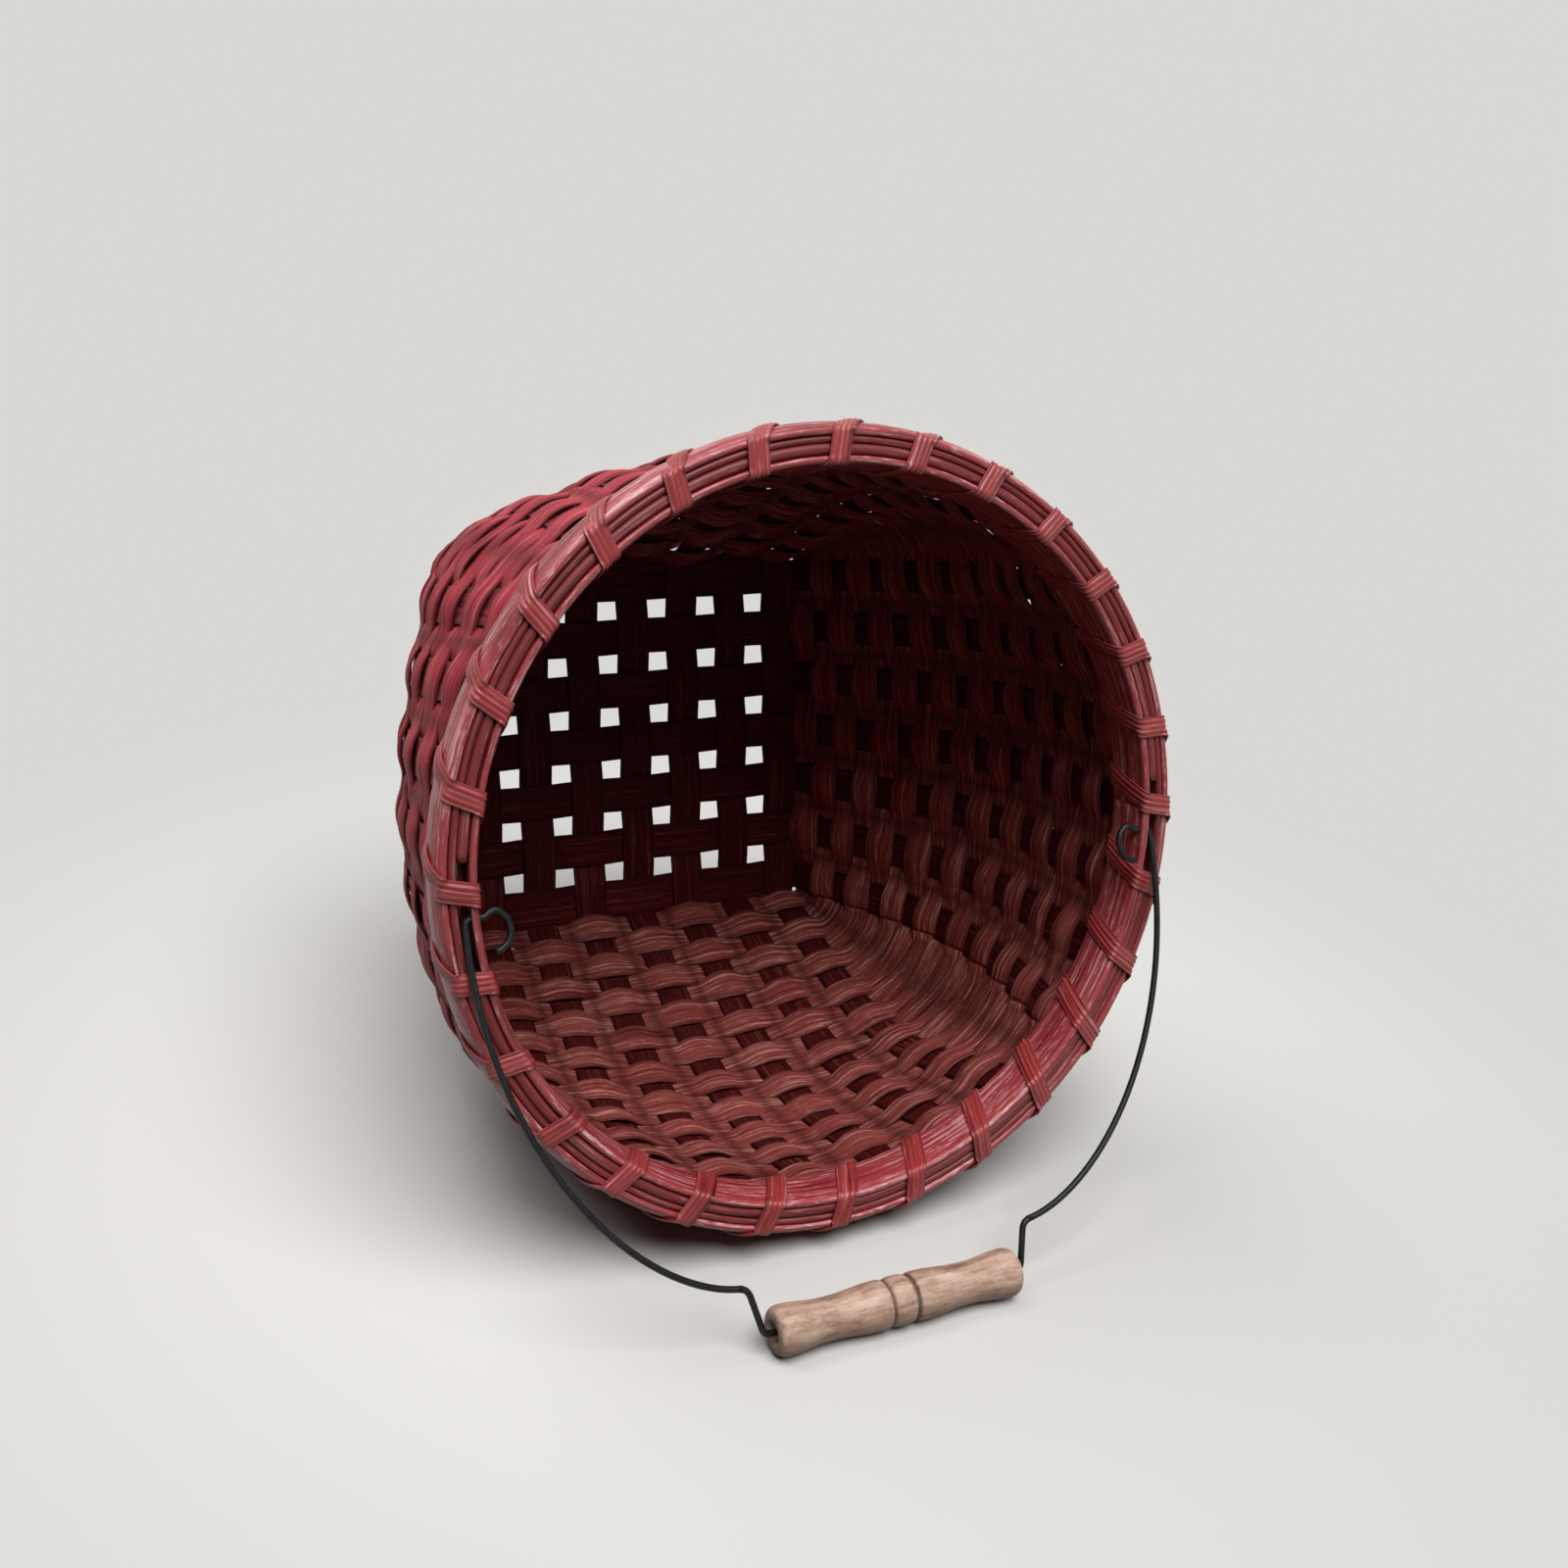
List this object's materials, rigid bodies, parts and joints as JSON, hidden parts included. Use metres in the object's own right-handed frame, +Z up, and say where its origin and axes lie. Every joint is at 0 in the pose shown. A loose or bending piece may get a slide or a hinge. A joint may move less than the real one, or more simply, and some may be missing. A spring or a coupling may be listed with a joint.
{
  "type": "clothespin basket",
  "caption": "Hand-woven flat-reed basket with a square open base, round lashed rim, black wire bail and turned wooden grip, lying on its side.",
  "frame": {"origin": "bottom centre of the bounding box of the basket lying on its side with the bail down", "axes": "+Z up from the floor, the mouth faces -Y and a little up, +X to the right as seen from in front of the mouth and along the bail's hinge line"},
  "size_m": [0.3046, 0.3106, 0.306],
  "materials": {
    "stake_reed": "stained flat reed, dull",
    "weaver_reed": "stained flat reed, dull",
    "rim_reed": "stained flat reed, satin",
    "bail_steel": "black wire, satin",
    "grip_wood": "turned wood, bare and slightly mottled"
  },
  "bodies": {
    "basket": {"stake_cross_1": "stake_reed", "stake_cross_2": "stake_reed", "stake_cross_3": "stake_reed", "stake_cross_4": "stake_reed", "stake_cross_5": "stake_reed", "stake_cross_6": "stake_reed", "stake_cross_7": "stake_reed", "stake_long_1": "stake_reed", "stake_long_2": "stake_reed", "stake_long_3": "stake_reed", "stake_long_4": "stake_reed", "stake_long_5": "stake_reed", "stake_long_6": "stake_reed", "stake_long_7": "stake_reed", "weaver_01": "weaver_reed", "weaver_02": "weaver_reed", "weaver_03": "weaver_reed", "weaver_04": "weaver_reed", "weaver_05": "weaver_reed", "weaver_06": "weaver_reed", "weaver_07": "weaver_reed", "weaver_08": "weaver_reed", "weaver_09": "weaver_reed", "weaver_10": "weaver_reed", "weaver_11": "weaver_reed", "weaver_12": "weaver_reed", "weaver_13": "weaver_reed", "weaver_14": "weaver_reed", "weaver_15": "weaver_reed", "weaver_16": "weaver_reed", "weaver_17": "weaver_reed", "weaver_18": "weaver_reed", "rim_row": "rim_reed", "rim_band_inner": "rim_reed", "rim_band_outer": "rim_reed", "rim_filler_outer": "rim_reed", "rim_filler_upper": "rim_reed", "rim_filler_lower": "rim_reed", "rim_lashing": "rim_reed"},
    "bail": {"bail_wire": "bail_steel"},
    "grip": {"bail_grip": "grip_wood"}
  },
  "joints": [
    {"name": "bail_swing", "type": "hinge", "parent": "basket", "child": "bail", "pos_m": [0, -0.06713, 0.14771], "axis": [-1, 0, 0], "range_deg": [0, 117]},
    {"name": "grip_spin", "type": "hinge", "parent": "bail", "child": "grip", "pos_m": [0, -0.14625, 0.00921], "axis": [1, 0, 0], "continuous": true}
  ]
}
